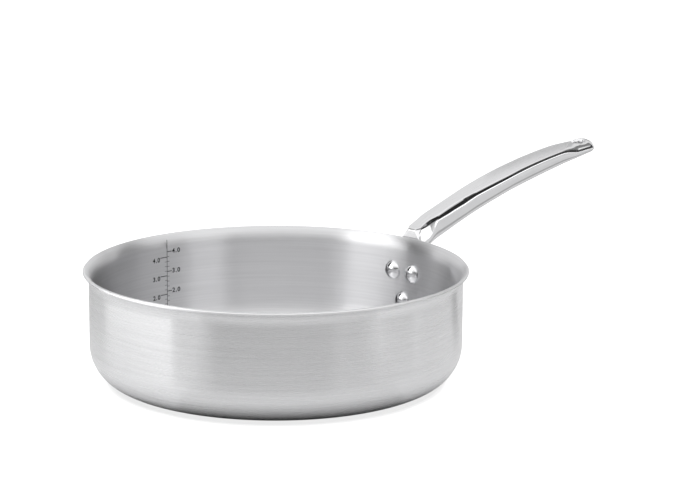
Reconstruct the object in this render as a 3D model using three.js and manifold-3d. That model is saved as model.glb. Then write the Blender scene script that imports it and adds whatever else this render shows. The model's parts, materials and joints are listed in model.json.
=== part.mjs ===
import * as THREE from "three";
import { mergeVertices } from "three/addons/utils/BufferGeometryUtils.js";
import Module from "manifold-3d";

// A straight-sided saute pan: three bonded plies, a cast handle and three rivets.
// Millimetres, +Z up. The pan's axis is the Z axis, its base stands on z = 0 and
// the handle points along +X.

const wasm = await Module();
wasm.setup();

// Vessel
const INNER_DIAMETER = 280;
const PAN_HEIGHT = 88;
const LINER_THICKNESS = 0.5;
const CORE_THICKNESS = 1.7;
const SKIN_THICKNESS = 0.5;
const CORNER_RADIUS = 29;
const LIP_RADIUS = 13;
const LIP_REACH = 4.7;

// Rivets: two above, one below, all on the handle's centre line
const RIVET_SPACING = 21.3;
const UPPER_RIVET_DROP = 27.4;
const LOWER_RIVET_DROP = 51.3;
const SHANK_DIAMETER = 6.5;
const INNER_HEAD_DIAMETER = 15;
const INNER_HEAD_HEIGHT = 3.6;
const OUTER_HEAD_DIAMETER = 12;
const OUTER_HEAD_HEIGHT = 2.6;

// Handle root: a flange on the wall and a neck that passes outside the lip
const FLANGE_THICKNESS = 4;
const FLANGE_EDGE = 2.5;
const NECK_WIDTH = 17;
const LIP_CLEARANCE = 1.2;
const FOLD_RISE = 7.3;

// Handle grip: an arched bar with a flat top, ending in a round tip with an eye
const GRIP_LENGTH = 220;
const GRIP_START = 32;
const GRIP_ROOT_SLOPE = THREE.MathUtils.degToRad(21.2);
const GRIP_TIP_SLOPE = THREE.MathUtils.degToRad(2);
const GRIP_WIDTH = 22.5;
const ROOT_THICKNESS = 22.4;
const GRIP_THICKNESS = 18.4;
const TIP_THICKNESS = 11;
const TIP_EDGE_THICKNESS = 3;
const NOSE_LENGTH = 50;
const EYE_LENGTH = 14;
const EYE_WIDTH = 10;
const EYE_TO_TIP = 17;

// Handle sections are superellipses. A power of 2 is an ellipse and a high one nearly a
// rectangle. A shoulder is the level of the widest point, from -1 at the belly to 1 at the top.
const FLANGE_POWER = 10;
const NECK_TOP_POWER = 2.2;
const GRIP_TOP_POWER = 5;
const GRIP_BELLY_POWER = 3;
const NOSE_TOP_POWER = 2.6;
const GRIP_SHOULDER = 0.45;
const NOSE_SHOULDER = -0.3;
const TIP_SWEEP = THREE.MathUtils.degToRad(81);

// Gap left between pieces that seat on each other, and at each face of the bonded core
const FIT_GAP = 0.3;
const BOND_GAP = 0.03;

// Facets
const VESSEL_SIDES = 48;
const CORNER_STEPS = 5;
const LIP_STEPS = 4;
const RIVET_SIDES = 16;
const DOME_STEPS = 4;
const SECTION_SIDES = 20;
const FLANGE_STEPS = 4;
const NECK_STEPS = 8;
const GRIP_STEPS = 12;
const TIP_STEPS = 5;
const EYE_STEPS = 10;

// Sizes that follow from the ones above
const LINER_DEPTH = SKIN_THICKNESS + CORE_THICKNESS;
const WALL_THICKNESS = LINER_DEPTH + LINER_THICKNESS;
const INNER_RADIUS = INNER_DIAMETER / 2;
const WALL_RADIUS = INNER_RADIUS + WALL_THICKNESS;
const LIP_ANGLE = Math.acos(1 - LIP_REACH / LIP_RADIUS);
const LIP_BASE_Z = PAN_HEIGHT - (LIP_RADIUS + WALL_THICKNESS) * Math.sin(LIP_ANGLE);
const LIP_EDGE_Z = LIP_BASE_Z + LIP_RADIUS * Math.sin(LIP_ANGLE);
const UPPER_RIVET_Z = PAN_HEIGHT - UPPER_RIVET_DROP;
const LOWER_RIVET_Z = PAN_HEIGHT - LOWER_RIVET_DROP;
const RIVET_TURN = RIVET_SPACING / 2 / WALL_RADIUS;
const FLANGE_RADIUS = WALL_RADIUS + FIT_GAP;
const FLANGE_OUTER_RADIUS = FLANGE_RADIUS + FLANGE_THICKNESS;
const FLANGE_ROUND = OUTER_HEAD_DIAMETER / 2 + FLANGE_EDGE;
const NECK_FOOT_Z = UPPER_RIVET_Z + OUTER_HEAD_DIAMETER / 2 + FIT_GAP;
const NECK_X = WALL_RADIUS + LIP_REACH + LIP_CLEARANCE;
const START_SHARE = GRIP_START / GRIP_LENGTH;

const steel = { color: 0xc9cacc, metalness: 1, roughness: 0.35 };
const MATERIALS = {
  liner: new THREE.MeshStandardMaterial(steel),
  core: new THREE.MeshStandardMaterial({ color: 0xd9dadb, metalness: 1, roughness: 0.5 }),
  skin: new THREE.MeshStandardMaterial({ ...steel, roughness: 0.4 }),
  handle: new THREE.MeshStandardMaterial({ ...steel, roughness: 0.25 }),
  rivet: new THREE.MeshStandardMaterial({ ...steel, roughness: 0.12 }),
};

// Booleans

function solidOf(geometry) {
  const bare = geometry.clone();
  bare.deleteAttribute("normal");
  bare.deleteAttribute("uv");
  const merged = mergeVertices(bare);
  const corners = merged.index.array;
  const triangles = [];
  for (let i = 0; i < corners.length; i += 3) {
    const [a, b, c] = [corners[i], corners[i + 1], corners[i + 2]];
    if (a !== b && b !== c && c !== a) {
      triangles.push(a, b, c);
    }
  }
  return new wasm.Manifold(new wasm.Mesh({
    numProp: 3,
    vertProperties: Float32Array.from(merged.attributes.position.array),
    triVerts: Uint32Array.from(triangles),
  }));
}

function geometryOf(solid) {
  const { vertProperties, triVerts } = solid.getMesh();
  const geometry = new THREE.BufferGeometry();
  geometry.setAttribute("position", new THREE.BufferAttribute(Float32Array.from(vertProperties), 3));
  geometry.setIndex(new THREE.BufferAttribute(Uint32Array.from(triVerts), 1));
  geometry.computeVertexNormals();
  return geometry;
}

function meshOf(name, solid, material) {
  const mesh = new THREE.Mesh(geometryOf(solid), material);
  mesh.name = name;
  return mesh;
}

// Rivets: each has its axis along a radius of the pan

const RIVET_PLACES = [
  { name: "rivet_upper_left", turn: RIVET_TURN, z: UPPER_RIVET_Z },
  { name: "rivet_upper_right", turn: -RIVET_TURN, z: UPPER_RIVET_Z },
  { name: "rivet_lower", turn: 0, z: LOWER_RIVET_Z },
];

// Turns a profile of (radius, distance from the pan's axis) about a radius of the pan.
function turnedOnRadius(profile, sides, place) {
  const geometry = new THREE.LatheGeometry(profile, sides);
  geometry.rotateZ(-Math.PI / 2);
  geometry.rotateZ(place.turn);
  geometry.translate(0, 0, place.z);
  return solidOf(geometry);
}

// A spherical cap from its rim at `seat` to its top, which lies `height` along `direction`.
function domeLine(radius, height, seat, direction) {
  const sphere = (radius * radius + height * height) / (2 * height);
  const spread = Math.asin(radius / sphere);
  const points = [];
  for (let i = 0; i <= DOME_STEPS; i += 1) {
    const angle = spread * (1 - i / DOME_STEPS);
    const rise = height - sphere * (1 - Math.cos(angle));
    points.push(new THREE.Vector2(sphere * Math.sin(angle), seat + direction * rise));
  }
  points[DOME_STEPS].x = 0;
  return points;
}

// The inner head lies flat against the curve of the faceted liner, the outer head on the flange.
function rivetSolid(place) {
  const headRadius = INNER_HEAD_DIAMETER / 2;
  const facetRadius = INNER_RADIUS * Math.cos(Math.PI / VESSEL_SIDES);
  const innerSeat = Math.sqrt(facetRadius ** 2 - headRadius ** 2) - FIT_GAP;
  const outerSeat = FLANGE_OUTER_RADIUS + FIT_GAP;
  const profile = [
    ...domeLine(headRadius, INNER_HEAD_HEIGHT, innerSeat, -1).reverse(),
    new THREE.Vector2(SHANK_DIAMETER / 2, innerSeat),
    new THREE.Vector2(SHANK_DIAMETER / 2, outerSeat),
    ...domeLine(OUTER_HEAD_DIAMETER / 2, OUTER_HEAD_HEIGHT, outerSeat, 1),
  ];
  return turnedOnRadius(profile, RIVET_SIDES, place);
}

// Cuts the three rivet holes out of a ply or the flange.
function withRivetHoles(solid) {
  const holeRadius = SHANK_DIAMETER / 2 + FIT_GAP;
  const from = INNER_RADIUS - INNER_HEAD_DIAMETER;
  const to = FLANGE_OUTER_RADIUS + OUTER_HEAD_DIAMETER;
  const profile = [
    new THREE.Vector2(0, from),
    new THREE.Vector2(holeRadius, from),
    new THREE.Vector2(holeRadius, to),
    new THREE.Vector2(0, to),
  ];
  let drilled = solid;
  for (const place of RIVET_PLACES) {
    drilled = drilled.subtract(turnedOnRadius(profile, RIVET_SIDES, place));
  }
  return drilled;
}

// Vessel: three plies, bonded face to face

// The surface that lies `depth` inside the outer face, from the axis to the lip's edge.
function layerLine(depth) {
  const points = [new THREE.Vector2(0, depth)];
  for (let i = 0; i <= CORNER_STEPS; i += 1) {
    const angle = (i / CORNER_STEPS) * (Math.PI / 2);
    const radius = CORNER_RADIUS - depth;
    points.push(new THREE.Vector2(
      WALL_RADIUS - CORNER_RADIUS + radius * Math.sin(angle),
      CORNER_RADIUS - radius * Math.cos(angle),
    ));
  }
  for (let i = 0; i <= LIP_STEPS; i += 1) {
    const angle = (i / LIP_STEPS) * LIP_ANGLE;
    const radius = LIP_RADIUS + depth;
    points.push(new THREE.Vector2(
      WALL_RADIUS + LIP_RADIUS - radius * Math.cos(angle),
      LIP_BASE_Z + radius * Math.sin(angle),
    ));
  }
  return points;
}

function plySolid(outerDepth, innerDepth) {
  const profile = [...layerLine(outerDepth), ...layerLine(innerDepth).reverse()];
  const geometry = new THREE.LatheGeometry(profile, VESSEL_SIDES);
  geometry.rotateX(Math.PI / 2);
  return withRivetHoles(solidOf(geometry));
}

// Handle: one casting, lofted through stations. A station has a point on the pan's side
// or top of the handle, a point opposite it and a half width. `grip` goes from 0 on the
// flange, a flat plate, to 1 on the grip, a bar with a flat top and a round belly. Half way,
// at the fold, the top is arched. `nose` goes from 0 on the grip to 1 at the tip, where the
// top is crowned down to a low edge.

function mix(a, b, share) {
  return a + (b - a) * share;
}

function eased(share) {
  return (1 - Math.cos(Math.PI * share)) / 2;
}

// The grip's top line is a parabola with a given slope at each end.
const FOLD = new THREE.Vector2(NECK_X, PAN_HEIGHT + FOLD_RISE);
const HALF_GRIP = GRIP_LENGTH / 2;
const TIP_RISE = HALF_GRIP * (Math.tan(GRIP_ROOT_SLOPE) + Math.tan(GRIP_TIP_SLOPE));
const topLine = new THREE.QuadraticBezierCurve(
  FOLD,
  new THREE.Vector2(FOLD.x + HALF_GRIP, FOLD.y + HALF_GRIP * Math.tan(GRIP_ROOT_SLOPE)),
  new THREE.Vector2(FOLD.x + GRIP_LENGTH, FOLD.y + TIP_RISE),
);
const TIP_X = FOLD.x + GRIP_LENGTH;

// The grip's station at a share of its length, square to the top line. `early` and `late`
// are the shares of its first and second half.
function gripStation(share) {
  const top = topLine.getPoint(share);
  const slope = topLine.getTangent(share);
  const early = Math.min(1, 2 * share);
  const late = Math.max(0, 2 * share - 1);
  const thickness = mix(mix(ROOT_THICKNESS, GRIP_THICKNESS, early), TIP_THICKNESS, late ** 2);
  const under = new THREE.Vector2(top.x + thickness * slope.y, top.y - thickness * slope.x);
  const widening = THREE.MathUtils.clamp((share - START_SHARE) / (0.5 - START_SHARE), 0, 1);
  const width = mix(NECK_WIDTH, GRIP_WIDTH, eased(widening));
  const nose = Math.max(0, 1 - (GRIP_LENGTH * (1 - share)) / NOSE_LENGTH);
  return { top, under, halfWidth: width / 2, grip: 1, nose: eased(nose) };
}

// The flange is a rounded triangle: a round about each rivet, and straight sides between them.
function flangeStations() {
  const stations = [];
  const add = (z, halfWidth) => stations.push({
    top: new THREE.Vector2(FLANGE_RADIUS, z),
    under: new THREE.Vector2(FLANGE_OUTER_RADIUS, z),
    halfWidth,
    grip: 0,
    nose: 0,
  });
  for (let i = 1; i <= FLANGE_STEPS; i += 1) {
    const angle = (i / FLANGE_STEPS) * (Math.PI / 2);
    add(LOWER_RIVET_Z - FLANGE_ROUND * Math.cos(angle), FLANGE_ROUND * Math.sin(angle));
  }
  const lastAngle = Math.asin((NECK_FOOT_Z - UPPER_RIVET_Z) / FLANGE_ROUND);
  for (let i = 0; i <= FLANGE_STEPS; i += 1) {
    const angle = (i / FLANGE_STEPS) * lastAngle;
    add(
      UPPER_RIVET_Z + FLANGE_ROUND * Math.sin(angle),
      RIVET_SPACING / 2 + FLANGE_ROUND * Math.cos(angle),
    );
  }
  return stations;
}

// The neck leaves the flange above the upper rivets, passes outside the lip, rises upright
// and folds over into the grip. Its outer side is one fillet from the flange to the belly.
function neckStations() {
  const end = gripStation(START_SHARE);
  const slope = topLine.getTangent(START_SHARE);
  const kneeZ = end.under.y - (end.under.x - FLANGE_OUTER_RADIUS) * (slope.y / slope.x);
  const outerLine = new THREE.QuadraticBezierCurve(
    new THREE.Vector2(FLANGE_OUTER_RADIUS, NECK_FOOT_Z),
    new THREE.Vector2(FLANGE_OUTER_RADIUS, kneeZ),
    end.under,
  );
  const panPoints = [
    new THREE.Vector2(FLANGE_RADIUS, NECK_FOOT_Z),
    new THREE.Vector2(FLANGE_RADIUS, LIP_BASE_Z),
    new THREE.Vector2(NECK_X, LIP_EDGE_Z),
    FOLD,
    end.top,
  ];
  const panLine = new THREE.CurvePath();
  for (let i = 1; i < panPoints.length; i += 1) {
    panLine.add(new THREE.LineCurve(panPoints[i - 1], panPoints[i]));
  }
  const [{ halfWidth: footHalfWidth }] = flangeStations().slice(-1);
  const stations = [];
  for (let i = 1; i < NECK_STEPS; i += 1) {
    const share = i / NECK_STEPS;
    stations.push({
      top: panLine.getPoint(share),
      under: outerLine.getPoint(share),
      halfWidth: mix(footHalfWidth, NECK_WIDTH / 2, eased(Math.min(1, 2 * share))),
      grip: eased(share),
      nose: 0,
    });
  }
  return stations;
}

function gripStations() {
  const to = 1 - GRIP_WIDTH / 2 / GRIP_LENGTH;
  const stations = [];
  for (let i = 0; i < GRIP_STEPS; i += 1) {
    stations.push(gripStation(mix(START_SHARE, to, i / GRIP_STEPS)));
  }
  return stations;
}

// The tip is round in plan and thins to its edge.
function tipStations() {
  const stations = [];
  const radius = GRIP_WIDTH / 2;
  for (let i = 0; i <= TIP_STEPS; i += 1) {
    const angle = (i / TIP_STEPS) * TIP_SWEEP;
    const station = gripStation(1 - (radius * (1 - Math.sin(angle))) / GRIP_LENGTH);
    const keep = mix(TIP_EDGE_THICKNESS / TIP_THICKNESS, 1, Math.cos(angle));
    station.top.lerpVectors(station.under, station.top, keep);
    station.halfWidth = radius * Math.cos(angle);
    stations.push(station);
  }
  return stations;
}

// One ring of points round a station. The flange's ring follows the curve of the wall.
function ringOf(station) {
  const { top, under, halfWidth, grip, nose } = station;
  const shoulder = mix(grip * GRIP_SHOULDER, NOSE_SHOULDER, nose);
  const arch = 1 - Math.abs(2 * grip - 1);
  const barPower = mix(mix(FLANGE_POWER, GRIP_TOP_POWER, grip), NECK_TOP_POWER, arch);
  const topPower = 2 / mix(barPower, NOSE_TOP_POWER, nose);
  const underPower = 2 / mix(FLANGE_POWER, GRIP_BELLY_POWER, grip);
  const points = [];
  for (let i = 0; i < SECTION_SIDES; i += 1) {
    const angle = (i / SECTION_SIDES) * 2 * Math.PI;
    const [across, up] = [Math.cos(angle), Math.sin(angle)];
    const power = up > 0 ? topPower : underPower;
    const y = halfWidth * Math.sign(across) * Math.abs(across) ** power;
    const level = Math.sign(up) * Math.abs(up) ** power;
    const height = shoulder + level * (up > 0 ? 1 - shoulder : 1 + shoulder);
    const sag = (1 - grip) * (FLANGE_RADIUS - Math.sqrt(FLANGE_RADIUS ** 2 - y ** 2));
    const place = under.clone().lerp(top, (1 + height) / 2);
    points.push(new THREE.Vector3(place.x - sag, y, place.y));
  }
  return points;
}

function loftGeometry(rings) {
  const sides = rings[0].length;
  const vertices = rings.flat();
  const indices = [];
  for (let i = 0; i + 1 < rings.length; i += 1) {
    for (let j = 0; j < sides; j += 1) {
      const a = i * sides + j;
      const b = i * sides + ((j + 1) % sides);
      indices.push(a, b, a + sides, b, b + sides, a + sides);
    }
  }
  for (const [row, turned] of [[0, true], [rings.length - 1, false]]) {
    const centre = vertices.length;
    const middle = rings[row].reduce((sum, point) => sum.add(point), new THREE.Vector3());
    vertices.push(middle.divideScalar(sides));
    for (let j = 0; j < sides; j += 1) {
      const a = row * sides + j;
      const b = row * sides + ((j + 1) % sides);
      indices.push(centre, turned ? b : a, turned ? a : b);
    }
  }
  const geometry = new THREE.BufferGeometry().setFromPoints(vertices);
  geometry.setIndex(indices);
  return geometry;
}

// The eye is an oval hole straight down through the tip. Its cutter stands out of both faces.
function eyeCutter() {
  const outline = new THREE.Shape();
  outline.absellipse(0, 0, EYE_LENGTH / 2, EYE_WIDTH / 2, 0, 2 * Math.PI);
  const depth = 2 * (TIP_THICKNESS + EYE_LENGTH);
  const geometry = new THREE.ExtrudeGeometry(outline, {
    depth,
    bevelEnabled: false,
    curveSegments: EYE_STEPS,
  });
  const eye = topLine.getPoint(1 - EYE_TO_TIP / GRIP_LENGTH);
  geometry.translate(TIP_X - EYE_TO_TIP, 0, eye.y - depth / 2);
  return solidOf(geometry);
}

function handleSolid() {
  const stations = [...flangeStations(), ...neckStations(), ...gripStations(), ...tipStations()];
  const casting = solidOf(loftGeometry(stations.map(ringOf)));
  return withRivetHoles(casting).subtract(eyeCutter());
}

const pan = new THREE.Group();
pan.name = "saute_pan";
const coreSolid = plySolid(SKIN_THICKNESS + BOND_GAP, LINER_DEPTH - BOND_GAP);
pan.add(meshOf("outer_skin", plySolid(0, SKIN_THICKNESS), MATERIALS.skin));
pan.add(meshOf("aluminium_core", coreSolid, MATERIALS.core));
pan.add(meshOf("inner_liner", plySolid(LINER_DEPTH, WALL_THICKNESS), MATERIALS.liner));
pan.add(meshOf("handle", handleSolid(), MATERIALS.handle));
for (const place of RIVET_PLACES) {
  pan.add(meshOf(place.name, rivetSolid(place), MATERIALS.rivet));
}

export default pan;
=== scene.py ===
# %% [markdown]
# # A clad saute pan with a cast handle
#
# The pan is a deep, straight-sided vessel of bonded steel, aluminium and steel, with a
# flared lip, a long cast handle and three rivets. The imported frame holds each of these
# pieces as a faceted solid at its real size. This lesson gives every piece the smooth
# surface and the finish that the eye meets: brushed rings on the vessel, a brushed top and
# polished sides on the handle, bright rivet heads and an etched volume scale.
#
# The frame comes first. Its box is kept, because the looks may not outgrow it.

# %% Load the frame
import json
import math

import bpy
import numpy as np
from mathutils import Matrix, Vector


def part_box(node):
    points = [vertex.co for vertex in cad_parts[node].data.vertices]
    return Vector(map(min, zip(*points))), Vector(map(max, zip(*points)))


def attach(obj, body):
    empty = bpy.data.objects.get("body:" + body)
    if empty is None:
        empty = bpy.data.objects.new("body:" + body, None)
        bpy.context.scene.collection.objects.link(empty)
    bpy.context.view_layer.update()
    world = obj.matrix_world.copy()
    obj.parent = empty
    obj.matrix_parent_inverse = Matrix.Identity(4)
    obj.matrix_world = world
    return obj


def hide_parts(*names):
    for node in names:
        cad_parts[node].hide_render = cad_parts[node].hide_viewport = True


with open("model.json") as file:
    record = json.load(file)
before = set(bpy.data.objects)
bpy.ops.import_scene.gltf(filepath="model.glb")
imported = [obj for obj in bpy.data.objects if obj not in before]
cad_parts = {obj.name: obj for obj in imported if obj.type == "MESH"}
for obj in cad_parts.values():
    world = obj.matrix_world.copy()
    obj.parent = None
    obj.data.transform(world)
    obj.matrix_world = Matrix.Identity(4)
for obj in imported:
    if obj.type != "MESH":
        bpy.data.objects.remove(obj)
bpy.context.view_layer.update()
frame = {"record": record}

# %% [markdown]
# ## Sizes of the vessel
#
# The lip's edge and the height are read from the frame, so the vessel follows the CAD. The
# rest are the sizes that a maker would write on a drawing: three plies, the bend of the
# corner between base and wall, and the bend of the lip. The wall is what is left when the
# lip's reach is taken off, and the angle of the lip follows from its bend and its reach.

# %% Vessel sizes
MM = 0.001
LIP_EDGE_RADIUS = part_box("outer_skin")[1].x
PAN_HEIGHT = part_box("inner_liner")[1].z
SKIN = 0.5 * MM
CORE = 1.7 * MM
LINER = 0.5 * MM
LIP_REACH = 4.7 * MM
LIP_BEND = 13 * MM
CORNER_BEND = 29 * MM
EDGE_ROUND = 0.45 * MM

WALL = SKIN + CORE + LINER
WALL_RADIUS = LIP_EDGE_RADIUS - LIP_REACH
INNER_RADIUS = WALL_RADIUS - WALL
LIP_ANGLE = math.acos(1 - LIP_REACH / LIP_BEND)
LIP_FOOT = PAN_HEIGHT - (LIP_BEND + WALL) * math.sin(LIP_ANGLE)
LIP_EDGE_Z = LIP_FOOT + LIP_BEND * math.sin(LIP_ANGLE)
print(f"inner diameter {2 * INNER_RADIUS / MM:.1f} mm")
print(f"lip bent by {math.degrees(LIP_ANGLE):.1f} degrees")

# %% [markdown]
# ## From rings of points to a closed mesh
#
# A turned vessel, a rivet and a cast handle have one thing in common: each is a stack of
# closed rings with a point at either end. Blender's Screw modifier could turn the vessel and
# a bevelled curve could sweep the handle, but neither gives control over every ring. So the
# rings are worked out as one numpy array, and one helper joins ring to ring with four-sided
# faces and closes each end with a fan of triangles.
#
# The helper also writes a UV map. U runs from ring to ring or round the ring, as the caller
# asks, because brushed steel stretches its highlights along U.

# %% Faces over rings
def face_grid(rows, columns):
    """Faces between neighbouring rings: corners (i, j), (i, j+1), (i+1, j+1) and (i+1, j)."""
    index = np.arange(rows * columns).reshape(rows, columns)
    turned_on = np.roll(index, -1, axis=1)
    faces = np.stack([index[:-1], turned_on[:-1], turned_on[1:], index[1:]], axis=-1)
    return faces.reshape(-1, 4)


def end_fans(rows, columns):
    """Triangles from the first ring to point rows * columns, and from the last to the next."""
    first = np.arange(columns)
    last = first + (rows - 1) * columns
    low_pole = np.full(columns, rows * columns)
    opening = np.stack([low_pole, np.roll(first, -1), first], axis=-1)
    closing = np.stack([low_pole + 1, last, np.roll(last, -1)], axis=-1)
    return np.concatenate([opening, closing])

# %% UV along the grain
def uv_pairs(ring_share, turn_share, along_rings):
    """Rows of U and V: one is the ring's share of the stack, the other the share of a turn."""
    pair = [turn_share, ring_share] if along_rings else [ring_share, turn_share]
    return np.stack(pair, axis=-1).reshape(-1, 2)


def grid_uv(rows, columns, along_rings):
    """UV of each corner of the faces between rings."""
    row, column = np.meshgrid(np.arange(rows - 1), np.arange(columns), indexing="ij")
    ring_share = np.stack([row, row, row + 1, row + 1], axis=-1) / (rows - 1)
    turn_share = np.stack([column, column + 1, column + 1, column], axis=-1) / columns
    return uv_pairs(ring_share, turn_share, along_rings)


def fan_uv(columns, along_rings):
    """UV of the two end fans: the pole lies in the middle of its triangle's share of a turn."""
    column = np.arange(columns)
    opening = np.stack([column + 0.5, column + 1, column], axis=-1) / columns
    closing = np.stack([column + 0.5, column, column + 1], axis=-1) / columns
    turn_share = np.concatenate([opening, closing])
    ring_share = np.zeros_like(turn_share)
    ring_share[columns:] = 1
    return uv_pairs(ring_share, turn_share, along_rings)

# %% A closed piece from rings
CM3 = 1e-6


def enclosed_volume(mesh):
    """Sum over triangles of a . (b x c) / 6: positive when the faces point outwards."""
    mesh.calc_loop_triangles()
    corners = np.empty(len(mesh.loop_triangles) * 3, dtype=np.int32)
    mesh.loop_triangles.foreach_get("vertices", corners)
    points = np.empty(len(mesh.vertices) * 3)
    mesh.vertices.foreach_get("co", points)
    a, b, c = points.reshape(-1, 3)[corners.reshape(-1, 3)].transpose(1, 0, 2)
    return float(np.einsum("ij,ij->", a, np.cross(b, c)) / 6)


def placed(name, data):
    """A new object at the origin, linked to the scene."""
    thing = bpy.data.objects.new(name, data)
    bpy.context.scene.collection.objects.link(thing)
    return thing


def ring_piece(name, rings, poles, along_rings=False):
    """A closed piece from an array of rings (rows, columns, 3) and its two end points."""
    rows, columns = rings.shape[:2]
    points = np.concatenate([rings.reshape(-1, 3), np.asarray(poles)])
    faces = face_grid(rows, columns).tolist() + end_fans(rows, columns).tolist()
    mesh = bpy.data.meshes.new(name)
    mesh.from_pydata(points.tolist(), [], faces)
    uv = np.concatenate([grid_uv(rows, columns, along_rings), fan_uv(columns, along_rings)])
    mesh.uv_layers.new(name="grain").data.foreach_set("uv", uv.astype(np.float32).ravel())
    mesh.polygons.foreach_set("use_smooth", np.ones(len(faces), dtype=bool))
    print(f"{name}: {len(faces)} faces, {enclosed_volume(mesh) / CM3:.1f} cm3")
    return placed(name, mesh)

# %% [markdown]
# ## The three plies of the vessel
#
# A clad pan is pressed from a sheet of three bonded metals, so each ply is the same curve a
# little further inside: a flat base, a quarter circle at the corner, a straight wall and an
# arc that throws the lip outwards. One function gives that curve at any depth below the outer
# face. A ply is the curve at its outer depth, across the cut edge of the lip, and back along
# the curve at its inner depth, turned about the pan's axis.
#
# A trimmed sheet is sharp, and a cook would be cut by it, so the two outer corners of the lip
# are rounded. That thin round is also what draws the bright line along the rim.

# %% Curves of the vessel
VESSEL_SIDES = 256
BASE_POINTS = 12
CORNER_POINTS = 26
WALL_POINTS = 12
LIP_POINTS = 20
EDGE_POINTS = 7


def lip_point(depth, back):
    """Point at an arc length `back` before the lip's cut edge, on the layer at `depth`."""
    reach = LIP_BEND + depth
    angle = LIP_ANGLE - back / reach
    out = WALL_RADIUS + LIP_BEND - reach * np.cos(angle)
    return np.stack([out, LIP_FOOT + reach * np.sin(angle)], axis=-1)


def layer(depth, back=0.0):
    """Half section of one layer, as (radius, height): base line, quarter circle, wall line and
    lip arc."""
    corner = np.linspace(0, math.pi / 2, CORNER_POINTS)
    bend = CORNER_BEND - depth
    corner_centre = WALL_RADIUS - CORNER_BEND
    corner_out = corner_centre + bend * np.sin(corner)
    base = np.linspace(0, corner_centre, BASE_POINTS)[:-1]
    wall = np.linspace(CORNER_BEND, LIP_FOOT, WALL_POINTS)[1:-1]
    lip_length = (LIP_BEND + depth) * LIP_ANGLE
    return np.concatenate([
        np.stack([base, np.full_like(base, depth)], axis=-1),
        np.stack([corner_out, CORNER_BEND - bend * np.cos(corner)], axis=-1),
        np.stack([np.full_like(wall, WALL_RADIUS - depth), wall], axis=-1),
        lip_point(depth, np.linspace(lip_length, back, LIP_POINTS)),
    ])


def outer_edge():
    """Quarter circle that rounds the lip's outer corner, from the outer face to the cut edge."""
    turn = np.linspace(0, math.pi / 2, EDGE_POINTS)[1:]
    return lip_point(EDGE_ROUND * (1 - np.cos(turn)), EDGE_ROUND * (1 - np.sin(turn)))


def inner_edge():
    """Quarter circle that rounds the lip's inner corner, from the cut edge to the inner face."""
    turn = np.linspace(0, math.pi / 2, EDGE_POINTS)[:-1]
    return lip_point(WALL - EDGE_ROUND * (1 - np.sin(turn)), EDGE_ROUND * (1 - np.cos(turn)))

# %% Turn the plies
def turned(profile, sides):
    """Rings of a profile of (radius, height) turned about the Z axis."""
    turn = np.linspace(0, 2 * math.pi, sides, endpoint=False)
    circle = np.stack([np.cos(turn), np.sin(turn), np.zeros(sides)], axis=-1)
    height = profile[:, 1, None, None] * np.array([0.0, 0.0, 1.0])
    return profile[:, 0, None, None] * circle + height


def ply(node, outer_curve, edge, inner_curve):
    """One ply of the vessel, from the axis out along one face and back along the other."""
    profile = np.concatenate([outer_curve, edge, inner_curve[::-1]])
    poles = [(0, 0, profile[0, 1]), (0, 0, profile[-1, 1])]
    piece = ring_piece(node + "_turned", turned(profile[1:-1], VESSEL_SIDES), poles)
    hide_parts(node)
    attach(piece, "root")
    return piece


no_round = np.empty((0, 2))
outer_skin = ply("outer_skin", layer(0, EDGE_ROUND), outer_edge(), layer(SKIN))
aluminium_core = ply("aluminium_core", layer(SKIN), no_round, layer(SKIN + CORE))
inner_liner = ply("inner_liner", layer(SKIN + CORE), inner_edge(), layer(WALL, EDGE_ROUND))

# %% [markdown]
# ## The rivets
#
# Three solid rivets hold the handle. Each has a domed head inside the pan and a smaller one
# outside, set against the handle's flange. Half a sphere would stand too proud, so a head is
# a spherical cap, on a short skirt that reaches the curve of the wall, with a soft corner
# between the two where the setting tool presses. The profile is turned about the rivet's own
# axis, which points along a radius of the pan.

# %% Rivet profile
RIVET_SPACING = 21.3 * MM
SHANK_RADIUS = 3.25 * MM
INNER_HEAD_RADIUS = 7.5 * MM
INNER_HEAD_HEIGHT = 3.6 * MM
OUTER_HEAD_RADIUS = 6 * MM
OUTER_HEAD_HEIGHT = 2.6 * MM
HEAD_CORNER = 0.9 * MM
HEAD_SKIRT = 0.6 * MM
HEAD_SOFTNESS = 0.6
FIT_GAP = 0.3 * MM
FLANGE_RADIUS = WALL_RADIUS + FIT_GAP
FLANGE_THICKNESS = 4 * MM
RIVET_SIDES = 72
DOME_POINTS = 26


def head(radius, height, seat, face):
    """Half section of a head from its foot at `seat` to its top at `face`, as (radius, place on
    the axis). The dome is a circle arc through the top and the rim, and the corner sinks by one
    minus a cosine."""
    outward = math.copysign(1, face - seat)
    sphere = (radius ** 2 + height ** 2) / (2 * height)
    share = np.linspace(1, 0, DOME_POINTS)
    out = radius * share
    rise = np.sqrt(sphere ** 2 - out ** 2) - (sphere - height)
    near_rim = np.clip((out - (radius - HEAD_CORNER)) / HEAD_CORNER, 0, 1)
    soft = HEAD_CORNER * (1 - np.cos(near_rim * math.pi / 2)) * HEAD_SOFTNESS
    dome = np.stack([out, face - outward * (height - rise + soft)], axis=-1)
    return np.concatenate([[[radius, seat]], dome])


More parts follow.
